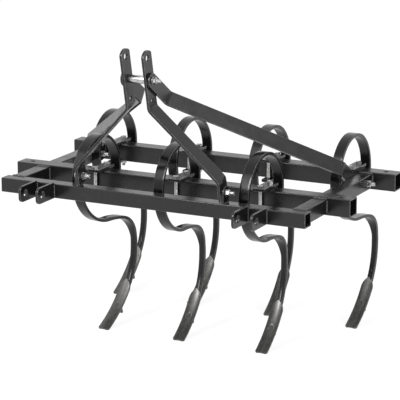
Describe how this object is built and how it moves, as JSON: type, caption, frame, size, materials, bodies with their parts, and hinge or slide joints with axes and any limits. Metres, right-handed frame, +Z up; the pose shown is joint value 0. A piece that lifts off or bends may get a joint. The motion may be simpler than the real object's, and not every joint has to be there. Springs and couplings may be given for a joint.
{
  "type": "mounted spring tine cultivator",
  "caption": "Tractor-mounted cultivator: square-tube frame with two rows of C-shaped spring tines with narrow points, a flat-bar mast with braces and forked lower hitch ears.",
  "frame": {"origin": "on the ground under the middle of the machine, level with the tips of the points", "axes": "+X to the machine's right seen from the front, along the beams; +Y from the hitch to the rear; +Z up"},
  "size_m": [1.15, 0.8435, 0.9696],
  "materials": {
    "frame_paint": "glossy black paint",
    "tine_paint": "glossy black paint on spring steel",
    "point_steel": "bare dark steel, rubbed at the tip",
    "zinc_fastener": "bright zinc plating"
  },
  "bodies": {
    "root": {"front_beam": "frame_paint", "middle_beam": "frame_paint", "rear_beam": "frame_paint", "front_rail_left": "frame_paint", "front_rail_right": "frame_paint", "rear_rail_left": "frame_paint", "rear_rail_right": "frame_paint", "lower_hitch_left": "frame_paint", "lower_hitch_right": "frame_paint", "mast_lug_left": "frame_paint", "mast_lug_right": "frame_paint", "mast_upright_left": "frame_paint", "mast_upright_right": "frame_paint", "brace_left": "frame_paint", "brace_right": "frame_paint", "mast_spacer": "zinc_fastener", "mast_bolt": "zinc_fastener", "mast_foot_bolts": "zinc_fastener", "brace_bolts": "zinc_fastener", "point_bolts": "zinc_fastener", "clamp_bolts_front": "zinc_fastener", "clamp_bolts_rear": "zinc_fastener", "tine_front_left": "tine_paint", "tine_front_middle": "tine_paint", "tine_front_right": "tine_paint", "tine_rear_far_left": "tine_paint", "tine_rear_left": "tine_paint", "tine_rear_right": "tine_paint", "tine_rear_far_right": "tine_paint", "point_front_left": "point_steel", "point_front_middle": "point_steel", "point_front_right": "point_steel", "point_rear_far_left": "point_steel", "point_rear_left": "point_steel", "point_rear_right": "point_steel", "point_rear_far_right": "point_steel", "clamp_front_left": "frame_paint", "clamp_front_middle": "frame_paint", "clamp_front_right": "frame_paint", "clamp_rear_far_left": "frame_paint", "clamp_rear_left": "frame_paint", "clamp_rear_right": "frame_paint", "clamp_rear_far_right": "frame_paint"}
  },
  "joints": []
}
